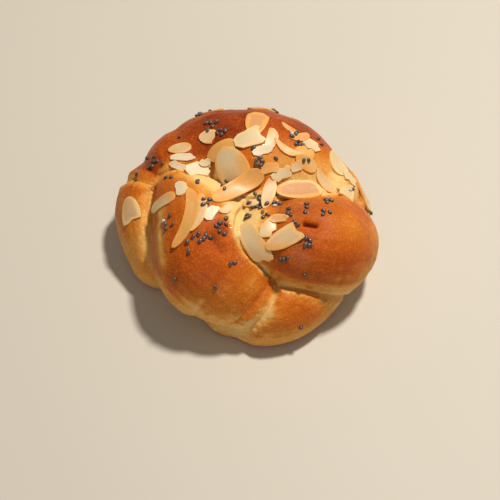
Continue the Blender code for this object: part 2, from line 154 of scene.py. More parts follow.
# The crease between two ropes, in millimetres: how far stretched pale dough shows beside
# it, how deep it is cut and how wide it is.
Crease = namedtuple("Crease", "pale depth width")
CREASES = {
    ("front_left", "right"): Crease(3.0, 1.4, 0.9),
    ("front_left", "front_low"): Crease(2.4, 2.6, 1.4),
    ("front_low", "right"): Crease(5.5, 1.2, 1.0),
    ("front_left", "left_low"): Crease(5.0, 3.6, 2.2),
    ("back", "left_low"): Crease(3.0, 1.4, 1.2),
    ("back", "front_left"): Crease(5.5, 1.0, 1.0),
    ("back", "right"): Crease(9.0, 1.0, 1.0),
}
USUAL_CREASE = Crease(4.0, 1.2, 1.0)

# Lines of sight

# Details are placed by lines of sight from an eye that looks down on the roll. Across and
# up are millimetres in a plane through the target, square to the line of sight.
SIGHT_ELEVATION = math.radians(53)
SIGHT_DISTANCE = 500 * MM
SIGHT_TARGET = Vector((2.0 * MM, -15 * MM, 20 * MM))
BACK_TARGET = Vector((0, 15 * MM, 20 * MM))
NEIGHBOUR = 1.5

# A dent in the crust: where it is seen, its heading and half length, its radius and depth,
# in degrees and millimetres. The second is the burst hole on the right rope.
Dent = namedtuple("Dent", "across up heading half_length radius depth")
DENTS = [
    Dent(-16.5, 1.0, -55, 3.0, 1.8, 0.9),
    Dent(20.3, 9.0, -8, 2.0, 1.05, 2.2),
]
FULLY_HOLLOW = 2.6

# A patch of crust that is browner (above zero) or paler (below zero) than its rope.
Patch = namedtuple("Patch", "across up radius strength")
PATCHES = [
    Patch(-12.0, 50.0, 15.0, 0.24),
    Patch(19.0, 47.0, 9.0, 0.14),
    Patch(5.8, 32.8, 9.0, -0.36),
    Patch(19.3, 28.9, 10.0, -0.58),
    Patch(30.8, 30.8, 8.0, -0.48),
    Patch(-1.9, 39.0, 7.0, -0.14),
    Patch(38.6, 25.0, 6.0, -0.42),
    Patch(-14.3, 23.0, 6.0, -0.52),
    Patch(-23.0, 27.0, 7.0, -0.36),
    Patch(-30.0, 29.0, 5.0, -0.30),
    Patch(-10.8, 13.5, 4.5, -0.30),
    Patch(-23.0, 0.0, 12.0, 0.06),
    Patch(-1.9, -13.5, 5.0, -0.25),
    Patch(1.9, -5.8, 4.0, -0.20),
    Patch(-13.5, -25.0, 9.0, -0.20),
    Patch(-27.0, -19.3, 7.0, -0.10),
    Patch(-3.5, 12.5, 7.0, -0.80),
    Patch(36.0, 9.0, 8.0, -0.20),
    Patch(27.0, -4.6, 9.0, 0.06),
    Patch(47.0, 5.8, 5.0, -0.30),
    Patch(21.2, -20.4, 7.0, 0.16),
    Patch(4.6, -26.2, 4.0, -0.22),
    Patch(-47.0, 27.0, 7.0, 0.22),
    Patch(-48.2, 0.0, 9.0, -0.16),
    Patch(-10.5, 19.5, 6.5, -0.65),
    Patch(-19.5, 27.0, 6.5, -0.62),
    Patch(-21.5, 21.0, 5.0, -0.25),
    Patch(-7.7, 8.5, 4.5, -0.42),
    Patch(-2.0, 6.0, 4.5, -0.45),
    Patch(-13.9, 8.6, 3.6, 0.25),
    Patch(-38.6, 13.5, 3.0, -0.50),
    Patch(-39.0, 9.0, 3.0, -0.45),
    Patch(-39.0, 4.0, 3.0, -0.50),
    Patch(-38.8, -1.0, 3.0, -0.45),
    Patch(-38.0, -6.0, 3.0, -0.45),
]

# Where egg wash dried thick and sparkles, as patches with a strength instead of a browning.
GLAZE = [
    Patch(12.5, 15.5, 8.0, 1.0),
    Patch(21.0, 15.5, 6.0, 0.6),
    Patch(17.4, 1.2, 4.5, 0.9),
    Patch(-2.7, 3.5, 4.0, 0.9),
    Patch(-8.5, 1.9, 4.0, 0.6),
    Patch(-16.0, 9.0, 4.0, 0.6),
    Patch(-6.9, -4.6, 3.0, 0.5),
    Patch(9.6, -13.5, 2.5, 0.6),
    Patch(13.5, 34.0, 8.0, 0.4),
]

# Almond flakes

# An almond flake: where it is seen and which way it points in that view, its size in
# millimetres, how it broke, how toasted it is, how brown its heart is and how white.
# Lower flakes come before those that lie on them.
Flake = namedtuple("Flake", "across up heading length width form toast heart white")
FRONT_FLAKES = [
    Flake(-11.2, 38.2, 25, 13, 8, "whole", 0.75, 0.1, 0.0),
    Flake(-7.3, 32.0, -65, 17, 13, "whole", 0.35, 0.0, 0.1),
    Flake(-4.0, 23.2, 39, 22, 6.8, "strip", 0.7, 0.1, 0.0),
    Flake(-19.7, 14.7, 75, 16, 4, "sliver", 0.5, 0.2, 0.0),
    Flake(-24.6, 12.8, 73, 24, 5.2, "crescent", 0.95, 0.2, 0.0),
    Flake(6.6, 8.1, 60, 7, 6, "shard", 0.35, 0.0, 0.3),
    Flake(1.0, 3.1, -57, 16, 7.6, "slab", 0.2, 0.0, 0.2),
    Flake(12.5, 4.2, 32, 14, 7.5, "cut", 0.35, 0.2, 0.1),
    Flake(2.3, 48.6, 75, 13, 8.5, "cut", 0.85, 0.75, 0.0),
    Flake(-0.8, 43.2, 20, 11, 8, "shard", 0.1, 0.0, 0.2),
    Flake(18.5, 22.8, 3, 18, 8, "whole", 0.3, 0.8, 0.1),
    Flake(33.5, 33.2, -60, 12, 9, "whole", 0.1, 0.1, 0.3),
    Flake(43.2, 23.1, -58, 17, 7, "whole", 0.3, 0.1, 0.1),
    Flake(-46.3, 15.8, -80, 10, 8.5, "cut", 0.2, 0.5, 0.1),
    Flake(7.0, 21.6, 75, 13, 5, "whole", 0.3, 0.1, 0.1),
    Flake(-33.8, 18.5, 28, 14, 5, "strip", 0.35, 0.2, 0.1),
    Flake(28.5, 26.2, -52, 12, 4.5, "sliver", 0.25, 0.0, 0.1),
    Flake(35.9, 21.2, -35, 10.5, 6, "cut", 0.2, 0.1, 0.1),
    Flake(-19.3, 30.0, 20, 9.5, 7.5, "shard", 0.1, 0.0, 0.7),
    Flake(-26.6, 24.0, -60, 8, 5.5, "shard", 0.1, 0.0, 0.6),
    Flake(20.8, 37.4, 0, 9, 6, "whole", 0.5, 0.0, 0.0),
    Flake(21.6, 33.5, -35, 10, 5.5, "whole", 0.6, 0.1, 0.0),
    Flake(-27.0, 39.0, 10, 9.5, 4.5, "whole", 0.35, 0.3, 0.1),
    Flake(-26.0, 35.8, 3, 9.5, 3.5, "shard", 0.1, 0.0, 0.8),
    Flake(-27.8, 32.4, -25, 7, 3.5, "shard", 0.15, 0.3, 0.7),
    Flake(8.0, 42.8, 70, 10, 4.5, "sliver", 0.45, 0.2, 0.2),
    Flake(5.0, 38.6, 25, 8.5, 4, "shard", 0.05, 0.0, 1.0),
    Flake(12.0, 29.3, 25, 8.5, 5, "shard", 0.2, 0.0, 0.4),
    Flake(-16.6, 43.6, 0, 6.5, 6, "cut", 0.15, 0.1, 0.1),
    Flake(23.5, 40.5, -20, 7.5, 6, "shard", 0.2, 0.3, 0.5),
    Flake(19.3, 43.6, 5, 10, 4, "sliver", 0.65, 0.4, 0.0),
    Flake(13.5, 39.3, -35, 11, 3, "sliver", 0.6, 0.0, 0.0),
    Flake(7.5, 31.6, 0, 6.5, 5, "shard", 0.65, 0.2, 0.0),
    Flake(38.2, 27.8, -40, 7.5, 5, "shard", 0.1, 0.0, 0.4),
    Flake(-15.0, 14.3, 45, 7, 5, "shard", 0.15, 0.1, 0.8),
    Flake(-9.6, 15.8, 25, 7.5, 3, "sliver", 0.2, 0.0, 0.5),
    Flake(11.2, 11.6, 15, 7.5, 5, "shard", 0.35, 0.8, 0.2),
    Flake(0.8, 18.0, 15, 7, 2.5, "sliver", 0.3, 0.0, 0.3),
    Flake(-17.0, 33.5, 2, 5, 3.5, "shard", 0.1, 0.0, 0.5),
    Flake(17.7, 32.0, 30, 5, 4, "shard", 0.25, 0.0, 0.3),
    Flake(14.7, 47.0, -35, 7, 3, "sliver", 0.7, 0.5, 0.0),
]
BACK_FLAKES = [
    Flake(-8.0, -13.0, 35, 15, 7.5, "whole", 0.45, 0.1, 0.1),
    Flake(14.0, -12.0, -40, 12, 6, "cut", 0.35, 0.3, 0.1),
    Flake(-22.0, -14.0, 80, 10, 5, "whole", 0.5, 0.0, 0.0),
    Flake(4.0, -21.0, -15, 9, 5.5, "shard", 0.25, 0.0, 0.5),
]
# How far along the full almond outline a flake starts and how far it goes before it is cut.
TIP = 0.985
FAR_END = {
    "whole": 0.985,
    "strip": 0.985,
    "sliver": 0.98,
    "crescent": 0.985,
    "slab": 0.9,
    "shard": 0.985,
    "cut": 0.5,
}
# How far a curved flake bows out to its side, as a share of its length.
BOWS = {"sliver": 0.12, "crescent": 0.17}
FLAKE_COLUMNS = 26
FLAKE_ROWS = 10
PROBE_COLUMNS = 11
PROBE_ROWS = 7
PROBE_HEIGHT = 14 * MM
# A flake is tucked under what is higher than this percentage of what it lies on.
SUPPORT = 86

# Chia seeds

# A handful of seeds: where it is seen, how far it spreads and how many seeds it has.
Handful = namedtuple("Handful", "across up half_width half_height count")
FRONT_SEEDS = [
    Handful(-13.0, 47.0, 4.5, 2.6, 9),
    Handful(-27.5, 44.0, 1.0, 1.0, 1),
    Handful(-37.5, 33.5, 4.0, 3.5, 7),
    Handful(-44.0, 28.0, 2.0, 1.5, 2),
    Handful(-31.0, 28.5, 1.5, 2.0, 2),
    Handful(-20.0, 25.8, 1.2, 0.8, 2),
    Handful(-10.0, 25.5, 2.5, 2.0, 4),
    Handful(-17.0, 18.5, 2.0, 2.2, 4),
    Handful(-31.5, 11.0, 2.2, 3.5, 5),
    Handful(-23.5, 2.0, 1.0, 3.0, 2),
    Handful(-11.0, 9.5, 2.2, 4.5, 6),
    Handful(-18.8, 4.8, 2.6, 1.4, 6),
    Handful(-7.0, -5.2, 1.6, 0.6, 2),
    Handful(-28.5, -11.2, 0.5, 0.5, 1),
    Handful(-13.8, -14.3, 0.5, 0.5, 1),
    Handful(3.2, 34.2, 2.0, 1.6, 5),
    Handful(10.0, 35.5, 0.5, 0.5, 1),
    Handful(1.6, 39.0, 0.5, 0.5, 1),
    Handful(16.0, 46.0, 2.6, 2.4, 4),
    Handful(19.3, 41.3, 1.6, 1.2, 4),
    Handful(27.5, 41.5, 2.2, 1.8, 2),
    Handful(23.0, 34.5, 2.6, 3.0, 2),
    Handful(2.0, 18.5, 2.2, 3.6, 8),
    Handful(-0.8, 12.3, 1.2, 1.0, 3),
    Handful(9.0, 17.2, 3.0, 1.2, 5),
    Handful(6.0, 13.4, 1.6, 1.2, 3),
    Handful(15.5, 14.6, 1.2, 1.4, 3),
    Handful(21.3, 15.8, 1.2, 2.4, 3),
    Handful(17.0, 10.0, 1.6, 2.4, 2),
    Handful(29.8, 15.8, 2.2, 4.4, 6),
    Handful(22.5, 3.2, 1.6, 2.0, 4),
    Handful(14.0, -3.4, 3.4, 0.6, 3),
    Handful(21.5, -9.8, 0.5, 0.5, 1),
    Handful(38.5, 24.0, 1.4, 1.6, 2),
    Handful(46.7, 14.3, 0.5, 0.5, 1),
    Handful(19.3, -29.8, 0.5, 0.5, 1),
]
BACK_SEEDS = [
    Handful(-11.0, -12.0, 6.0, 3.0, 4),
    Handful(16.0, -14.0, 5.0, 3.0, 4),
    Handful(3.0, -19.0, 8.0, 3.0, 4),
]
PALE_SEED_SHARE = 0.06


# Settings


def length_setting(name, description, default):
    return FloatProperty(
        name=name, description=description, default=default, min=0, unit="LENGTH", precision=5
    )


def share_setting(name, description, default):
    return FloatProperty(
        name=name, description=description, default=default, min=0, max=1, subtype="FACTOR"
    )


def colour_setting(name, description, default):
    return FloatVectorProperty(
        name=name, description=description, default=default, min=0, max=1, subtype="COLOR"
    )


class DoughSettings(bpy.types.PropertyGroup):
    width: length_setting("Width", "The roll from side to side", ROLL_WIDTH)
    depth: length_setting("Depth", "The roll from front to back", ROLL_DEPTH)
    height: length_setting("Height", "The bare dough above its base", ROLL_HEIGHT)
    rope_radius: length_setting("Rope radius", "Radius of a rope of girth 1", 20 * MM)
    grain: length_setting("Grain", "Size of the finest form in the crust's mesh", 0.54 * MM)
    softening: IntProperty(
        name="Softening", description="How much the creases are rounded", default=3, min=0
    )
    sharpness: share_setting("Crease sharpness", "How much the creases are cut in", 1.0)
    wrinkle: length_setting("Wrinkle depth", "Folds of skin beside the creases", 0.22 * MM)
    unevenness: length_setting("Unevenness", "Swelling of the risen dough", 0.45 * MM)


class CrustSettings(bpy.types.PropertyGroup):
    pale: colour_setting("Pale", "Dough that stretched in a crease", (0.82, 0.54, 0.205))
    golden: colour_setting("Golden", "Lightly baked sides", (0.73, 0.33, 0.062))
    amber: colour_setting("Amber", "Crust between side and crown", (0.62, 0.175, 0.012))
    chestnut: colour_setting("Chestnut", "Well baked crowns", (0.46, 0.078, 0.004))
    dark: colour_setting("Dark", "The darkest baked spots", (0.22, 0.028, 0.003))
    # Near-black red for the burst hole: partly dark crust, partly painted shade of the hole's
    # depth.
    dark_crust_and_hole_shade: colour_setting("Burst", "Inside the burst hole", (0.11, 0.010, 0.002))
    coat: share_setting("Egg wash", "How glossy the brushed crowns are", 0.16)


class AlmondSettings(bpy.types.PropertyGroup):
    thickness: length_setting("Thickness", "Thickness of a flake", 0.85 * MM)
    edge: length_setting("Edge rounding", "How much a flake's edge is rounded", 0.16 * MM)
    sink: length_setting("Sink", "How deep a flake's highest support presses in", 0.35 * MM)
    suppleness: share_setting("Suppleness", "How far a flake follows what it lies on", 0.75)
    tightest_bend: length_setting("Tightest bend", "Smallest radius of a bent flake", 15 * MM)
    cream: colour_setting("Cream", "Plain almond", (0.84, 0.58, 0.25))
    waxy: colour_setting("Waxy", "The see-through heart of a thin flake", (0.72, 0.53, 0.30))
    toasted: colour_setting("Toasted", "Edges browned in the oven", (0.80, 0.37, 0.075))
    red_heart: colour_setting("Reddish", "The browned heart of a flake", (0.60, 0.25, 0.10))
    white: colour_setting("White", "Freshly broken almond", (0.86, 0.68, 0.46))


class SeedSettings(bpy.types.PropertyGroup):
    length: length_setting("Length", "Length of a seed", 2.15 * MM)
    width: length_setting("Width", "Width of a seed", 1.45 * MM)
    height: length_setting("Height", "Height of a seed", 1.15 * MM)
    sink: share_setting("Sink", "Share of a seed's height that is stuck in", 0.2)
    variation: share_setting("Variation", "How much the seeds differ in size", 0.1)
    scatter: IntProperty(
        name="Scatter", description="Number that the random places come from", default=36
    )
    dark: colour_setting("Dark", "Dark seeds", (0.050, 0.034, 0.027))
    veins: colour_setting("Veins", "The marbling of dark seeds", (0.26, 0.205, 0.165))
    pale: colour_setting("Pale", "The few pale seeds", (0.62, 0.53, 0.44))


class StageSettings(bpy.types.PropertyGroup):
    floor: colour_setting("Floor", "The plain pale floor", (0.585, 0.53, 0.44))
    key_light: FloatProperty(
        name="Key light", description="Power of the main light", default=10.5, unit="POWER"
    )
    key_size: length_setting("Key size", "Width of the main light", 0.12)
    front_light: FloatProperty(
        name="Front light", description="Power of the light in front", default=1.2, unit="POWER"
    )
    fill_light: share_setting("Fill light", "Strength of the light from all round", 0.2)
    focal_length: FloatProperty(
        name="Focal length", description="In millimetres, on a 36 mm sensor", default=93.35
    )


class BriocheSettings(bpy.types.PropertyGroup):
    dough: PointerProperty(type=DoughSettings)
    crust: PointerProperty(type=CrustSettings)
    almonds: PointerProperty(type=AlmondSettings)
    seeds: PointerProperty(type=SeedSettings)
    stage: PointerProperty(type=StageSettings)


# Shader recipes


class Wire:
    """A value in a shader that takes part in ordinary arithmetic."""

    def __init__(self, recipe, socket):
        self.recipe = recipe
        self.socket = socket

    def worked_out(self, operation, *values, clamp=False):
        settings = {"operation": operation, "use_clamp": clamp}
        return self.recipe.node("ShaderNodeMath", settings, dict(enumerate(values)))

    def __add__(self, other):
        return self.worked_out("ADD", self, other)

    def __radd__(self, other):
        return self.worked_out("ADD", other, self)

    def __sub__(self, other):
        return self.worked_out("SUBTRACT", self, other)

    def __rsub__(self, other):
        return self.worked_out("SUBTRACT", other, self)

    def __mul__(self, other):
        return self.worked_out("MULTIPLY", self, other)

    def __rmul__(self, other):
        return self.worked_out("MULTIPLY", other, self)

    def clamped(self):
        return self.worked_out("ADD", self, 0.0, clamp=True)


class Recipe:
    """A material's node tree, and the calls that add to it."""

    def __init__(self, name):
        self.material = bpy.data.materials.new(name)
        self.material.use_nodes = True
        self.tree = self.material.node_tree
        self.shader = self.tree.nodes["Principled BSDF"]

    def node(self, kind, settings=None, inputs=None, output=0):
        """Adds a node, sets its settings, then its sockets, and returns one output."""
        made = self.tree.nodes.new(kind)
        for setting, value in (settings or {}).items():
            if setting == "stops":
                self.set_stops(made.color_ramp, value)
            else:
                setattr(made, setting, value)
        for socket, value in (inputs or {}).items():
            self.feed(made.inputs[socket], value)
        return Wire(self, made.outputs[output])

    def feed(self, socket, value):
        if isinstance(value, Wire):
            self.tree.links.new(value.socket, socket)
        else:
            socket.default_value = value

    def set_stops(self, ramp, stops):
        for place, _ in stops[len(ramp.elements):]:
            ramp.elements.new(place)
        for element, (place, colour) in zip(ramp.elements, stops):
            element.position = place
            element.color = (*colour, 1)

    def finish(self, **values):
        """Feeds the surface shader's sockets, named with underscores for spaces."""
        for name, value in values.items():
            self.feed(self.shader.inputs[name.replace("_", " ")], value)
        return self.material

    def place(self):
        return self.node("ShaderNodeTexCoord", output="Object")

    def measured(self, name):
        """A number stored on the mesh."""
        return self.node("ShaderNodeAttribute", {"attribute_name": name}, output="Fac")

    def noise(self, scale, detail=2.0, roughness=0.5, vector=None, distortion=0.0):
        inputs = {
            "Vector": vector or self.place(),
            "Scale": scale,
            "Detail": detail,
            "Roughness": roughness,
            "Distortion": distortion,
        }
        return self.node("ShaderNodeTexNoise", {}, inputs, output="Fac")

    def cells(self, scale):
        """How far each point is from the middle of a cell, with soft borders."""
        inputs = {"Vector": self.place(), "Scale": scale}
        settings = {"feature": "SMOOTH_F1"}
        return self.node("ShaderNodeTexVoronoi", settings, inputs, output="Distance")

    def ramp(self, value, start, end):
        """Goes smoothly from 0 to 1 as the value goes from start to end."""
        inputs = {"Value": value, "From Min": start, "From Max": end}
        return self.node("ShaderNodeMapRange", {"interpolation_type": "SMOOTHSTEP"}, inputs)

    def blend(self, share, first, second):
        """Mixes two colours."""
        made = self.tree.nodes.new("ShaderNodeMix")
        made.data_type = "RGBA"
        self.feed(made.inputs[0], share)
        for socket, colour in ((made.inputs[6], first), (made.inputs[7], second)):
            self.feed(socket, colour if isinstance(colour, Wire) else (*colour, 1))
        return Wire(self, made.outputs[2])

    def colours(self, value, stops):
        return self.node("ShaderNodeValToRGB", {"stops": stops}, {0: value}, output="Color")

    def stretched(self, scale):
        """Object coordinates squeezed or stretched along the axes."""
        return self.node("ShaderNodeMapping", {}, {"Vector": self.place(), "Scale": scale})

    def bump(self, height, distance):
        """Turns a height from 0 to 1 into a normal; distance is the height of 1."""
        inputs = {"Strength": 1.0, "Distance": distance, "Height": height}
        return self.node("ShaderNodeBump", {}, inputs)


# Meshes and surfaces


def new_object(name, data):
    item = bpy.data.objects.new(name, data)
    bpy.context.scene.collection.objects.link(item)
    return item


def evaluated_mesh(item):
    """The object's mesh as its modifiers make it."""
    bpy.context.view_layer.update()
    depsgraph = bpy.context.evaluated_depsgraph_get()
    return bpy.data.meshes.new_from_object(item.evaluated_get(depsgraph))


def points_of(mesh):
    points = np.empty(len(mesh.vertices) * 3, np.float32)
    mesh.vertices.foreach_get("co", points)
    return points.reshape(-1, 3).astype(float)


def normals_of(mesh):
    normals = np.empty(len(mesh.vertices) * 3, np.float32)
    mesh.vertices.foreach_get("normal", normals)
    return normals.reshape(-1, 3).astype(float)


def move_points(mesh, points):
    mesh.vertices.foreach_set("co", np.asarray(points, np.float32).ravel())
    mesh.update()


def store(mesh, name, values):
    """Keeps one number for each point, for the material to read."""
    layer = mesh.attributes.new(name, "FLOAT", "POINT")
    layer.data.foreach_set("value", np.asarray(values, np.float32))


def smooth_step(values, start, end):
    share = np.clip((values - start) / (end - start), 0, 1)
    return share * share * (3 - 2 * share)


def tree_of(mesh):
    polygons = [polygon.vertices[:] for polygon in mesh.polygons]
    return BVHTree.FromPolygons([vertex.co for vertex in mesh.vertices], polygons)


class Ground:
    """Everything that a topping can lie on."""

    def __init__(self, *meshes):
        self.trees = [tree_of(mesh) for mesh in meshes]

    def add(self, mesh):
        self.trees.append(tree_of(mesh))

    def first_hit(self, start, direction, reach=1.0):
        """The nearest place and normal along a line, or None twice."""
        hits = [tree.ray_cast(start, direction, reach) for tree in self.trees]
        hits = [hit for hit in hits if hit[0] is not None]
        if not hits:
            return None, None
        place, normal, _, _ = min(hits, key=lambda hit: hit[3])
        return place, normal if normal.dot(direction) < 0 else -normal

    def seen_place(self, across, up, from_back=False):
        """Where a line of sight meets the roll. One that misses is moved inwards."""
        place = None
        while place is None:
            eye, direction = sight(across * MM, up * MM, from_back)
            place, normal = self.first_hit(eye, direction)
            across, up = across * 0.98, up * 0.98
        return place, normal


def sight(across, up, from_back=False):
    """The eye, and the direction in which it looks at a place in the tilted view."""
    turn = math.pi if from_back else 0.0
    right = Vector((math.cos(turn), math.sin(turn), 0))
    ahead = Vector((-math.sin(turn), math.cos(turn), 0))
    level, rise = math.cos(SIGHT_ELEVATION), math.sin(SIGHT_ELEVATION)
    target = BACK_TARGET if from_back else SIGHT_TARGET
    eye = target + (Vector((0, 0, rise)) - ahead * level) * SIGHT_DISTANCE
    upwards = ahead * rise + Vector((0, 0, level))
    seen = target + right * across + upwards * up
    return eye, (seen - eye).normalized()


# The crust


def rope_route(stations, dough):
    """Points and radii along a smooth curve through the stations, with round ends."""
    scale = (dough.width, dough.depth, dough.height, dough.rope_radius)
    marks = np.array(stations) * np.array(scale)
    marks = np.vstack([2 * marks[0] - marks[1], marks, 2 * marks[-1] - marks[-2]])
    route = []
    for before, start, end, after in zip(marks, marks[1:], marks[2:], marks[3:]):
        for t in np.arange(ROPE_STEPS) / ROPE_STEPS:
            bend = (2 * before - 5 * start + 4 * end - after) * t**2
            twist = (3 * start - before - 3 * end + after) * t**3
            route.append((2 * start + (end - before) * t + bend + twist) / 2)
    route.append(marks[-2])
    return round_end(route[::-1])[::-1] + route + round_end(route)


def round_end(route):
    """The shrinking rings of a dome beyond the last point of a route."""
    tip, inner = route[-1], route[-2]
    outwards = (tip - inner)[:3] / np.linalg.norm((tip - inner)[:3])
    rings = []
    for ring in range(1, CAP_RINGS + 1):
        turn = math.radians(88) * ring / CAP_RINGS
        place = tip[:3] + outwards * tip[3] * math.sin(turn)
        rings.append(np.array([*place, tip[3] * math.cos(turn)]))
    return rings


def rope_mesh(name, route):
    """A closed tube of dough along a route."""
    curve = bpy.data.curves.new(name, "CURVE")
    curve.dimensions = "3D"
    curve.bevel_depth = 1.0
    curve.bevel_resolution = ROPE_SIDES
    curve.use_fill_caps = True
    spline = curve.splines.new("POLY")
    spline.points.add(len(route) - 1)
    for point, (x, y, z, radius) in zip(spline.points, route):
        point.co = (x, y, z, 1)
        point.radius = radius
    rope = new_object(name, curve)
    mesh = evaluated_mesh(rope)
    bpy.data.objects.remove(rope)
    shell = bmesh.new()
    shell.from_mesh(mesh)
    bmesh.ops.remove_doubles(shell, verts=shell.verts, dist=0.01 * MM)
    shell.to_mesh(mesh)
    shell.free()
    return mesh


def risen_dough(routes, dough):
    """All the ropes grown together into one skin, before it is cut flat below."""
    lump = bmesh.new()
    for name, route in routes.items():
        lump.from_mesh(rope_mesh(name, route))
    crumb = Matrix.Diagonal((*CRUMB_SIZE, 1))
    crumb.translation.z = CRUMB_RISE
    bmesh.ops.create_uvsphere(lump, u_segments=32, v_segments=16, radius=0.5, matrix=crumb)
    mesh = bpy.data.meshes.new("dough")
    lump.to_mesh(mesh)
    lump.free()
    item = new_object("dough", mesh)
    remesh = item.modifiers.new("grow together", "REMESH")
    remesh.mode = "VOXEL"
    remesh.voxel_size = dough.grain
    smooth = item.modifiers.new("soften creases", "SMOOTH")
    smooth.factor = 0.5
    smooth.iterations = dough.softening
    skin = evaluated_mesh(item)
    bpy.data.objects.remove(item)
    return skin


def frames_along(route):
    """Two directions square to each step of a route, that turn no more than they must."""
    steps = np.diff(route[:, :3], axis=0)
    steps /= np.linalg.norm(steps, axis=1)[:, None]
    side = np.cross(steps[0], (0.3, 0.2, 1.0))
    sides = []
    for step in np.vstack([steps, steps[-1:]]):
        side = side - step * (side @ step)
        side = side / np.linalg.norm(side)
        sides.append((side, np.cross(step, side)))
    return np.array(sides)


def places_on_rope(points, route):
    """How far points are from a rope's skin, and where they are along and round it."""
    route = np.array(route)
    frames = frames_along(route)
    gap = np.full(len(points), np.inf)
    place = np.zeros_like(points)
    travelled = 0.0
    for start, end, first, last in zip(route, route[1:], frames, frames[1:]):
        step = end - start
        length = np.linalg.norm(step[:3])
        share = np.clip((points - start[:3]) @ step[:3] / length**2, 0, 1)[:, None]
        offset = points - start[:3] - share * step[:3]
        away = np.linalg.norm(offset, axis=1) - (start[3] + share[:, 0] * step[3])
        closer = away < gap
        gap[closer] = away[closer]
        share, offset = share[closer], offset[closer]
        place[closer, 0] = travelled + share[:, 0] * length
        for axis in (0, 1):
            direction = first[axis] + share * (last[axis] - first[axis])
            place[closer, axis + 1] = (offset * direction).sum(axis=1)
        travelled += length
    return gap, place


class Knot:
    """Where each point of the crust is among the ropes."""

    def __init__(self, points, routes):
        self.names = list(CROWN_BROWNING)
        found = [places_on_rope(points, routes[name]) for name in self.names]
        gaps = np.array([gap for gap, _ in found])
        order = np.argsort(gaps, axis=0)
        every = np.arange(len(points))
        self.rope = order[0]
        self.neighbour = order[1]
        self.seam = gaps[order[1], every] - gaps[order[0], every]
        self.place = np.array([place for _, place in found])[order[0], every]
        self.place[:, 0] += self.rope * GRAIN_SHIFT

    def crease(self):
        """The nearest crease's pale band, depth and width, in metres."""
        count = len(self.names)
        table = np.empty((count, count, 3))
        table[:] = USUAL_CREASE
        for pair, crease in CREASES.items():
            first, second = (self.names.index(name) for name in pair)
            table[first, second] = table[second, first] = crease
        return Crease(*(table[self.rope, self.neighbour] * MM).T)


def swell(points, dough):
    """The slow unevenness of risen dough, in metres along the surface's normal."""
    x, y, z = points.T / dough.rope_radius
    slow = np.sin(2.3 * x + 1.1 * y + 0.4) * np.cos(1.9 * y - 1.3 * z + 0.9)
    quick = np.sin(4.7 * y - 3.9 * x + 2.0) * np.cos(4.3 * z + 3.1 * x)
    return dough.unevenness * (slow + 0.45 * quick)


def rough(points, size, seed):
    """Smooth random numbers from about -1 to 1, with features of the given size."""
    shift = Vector((seed, seed * 1.7, seed * 2.3))
    return np.array([noise.noise(Vector(point) / size + shift) for point in points])


def skin_folds(points, knot, dough):
    """The sharp bottoms of the creases, their ragged lips, and small folds beside them."""
    crease = knot.crease()
    cut = crease.depth * np.exp(-((knot.seam / crease.width) ** 2))
    lips = np.exp(-(((knot.seam - 1.6 * MM) / (0.9 * MM)) ** 2))
    ragged = rough(points, 2.2 * MM, 7.0) + 0.6 * rough(points, 1.3 * MM, 5.0)
    beside = 1 - smooth_step(knot.seam, 2 * MM, 9 * MM)
    folds = rough(knot.place * (0.3, 1, 1), 1.4 * MM, 3.0)
    lumps = rough(points, 5 * MM, 11.0)
    skin = (0.8 + 1.6 * ragged) * lips + 0.8 * folds * beside + 0.7 * lumps
    return dough.wrinkle * skin - dough.sharpness * cut


def press_dents(mesh):
    """Pushes in the few deep dimples of the crust. Returns how hollow each point is."""
    ground = Ground(mesh)
    points, normals = points_of(mesh), normals_of(mesh)
    hollow = np.zeros(len(points))
    for dent in DENTS:
        turn = math.radians(dent.heading)
        step = (math.cos(turn) * dent.half_length, math.sin(turn) * dent.half_length)
        start = np.array(ground.seen_place(dent.across - step[0], dent.up - step[1])[0])
        end = np.array(ground.seen_place(dent.across + step[0], dent.up + step[1])[0])
        line = end - start
        along = np.clip((points - start) @ line / (line @ line), 0, 1)
        gap = np.linalg.norm(points - start - along[:, None] * line, axis=1)
        depth = np.exp(-((gap / (dent.radius * MM)) ** 2))
        points -= normals * (depth * dent.depth * MM)[:, None]
        hollow = np.maximum(hollow, depth * dent.depth / FULLY_HOLLOW)
    move_points(mesh, points)
    return hollow


def browning(mesh, knot, hollow):
    """How brown each point is baked, from 0 for raw dough to 1 for dark chestnut, with the dents
    darker: partly browner crust, partly painted shade.
    """
    points, normals = points_of(mesh), normals_of(mesh)
    crown = np.array(list(CROWN_BROWNING.values()))[knot.rope]
    uneven = rough(points, 8 * MM, 2.0) + 0.45 * rough(points, 2.5 * MM, 4.0)
    washed = smooth_step(normals[:, 2] + 0.22 * uneven, -0.12, 0.42)
    height = smooth_step(points[:, 2], 0, 22 * MM)
    band = knot.crease().pale * (1 + 0.5 * uneven)
    covered = 1 - smooth_step(knot.seam / band, 0.1, 1.15)
    side = 0.20 + 0.10 * smooth_step(normals[:, 2], -0.9, 0.1)
    brown = side + (crown - side) * washed * (0.55 + 0.45 * height)
    brown *= 1 - 0.62 * covered
    # The dents darken with their depth: partly browner crust, partly painted shade in the hollows.
    return np.clip(brown + patchwork(mesh, PATCHES) + 0.25 * hollow, 0.02, 1)


def patchwork(mesh, patches):
    """The sum of soft patches, each as strong at its middle as it says."""
    ground = Ground(mesh)
    points = points_of(mesh)
    total = np.zeros(len(points))
    for patch in patches:
        middle = np.array(ground.seen_place(patch.across, patch.up)[0])
        away = np.linalg.norm(points - middle, axis=1) / (patch.radius * MM)
        total += patch.strength * np.exp(-(away**2))
    return total


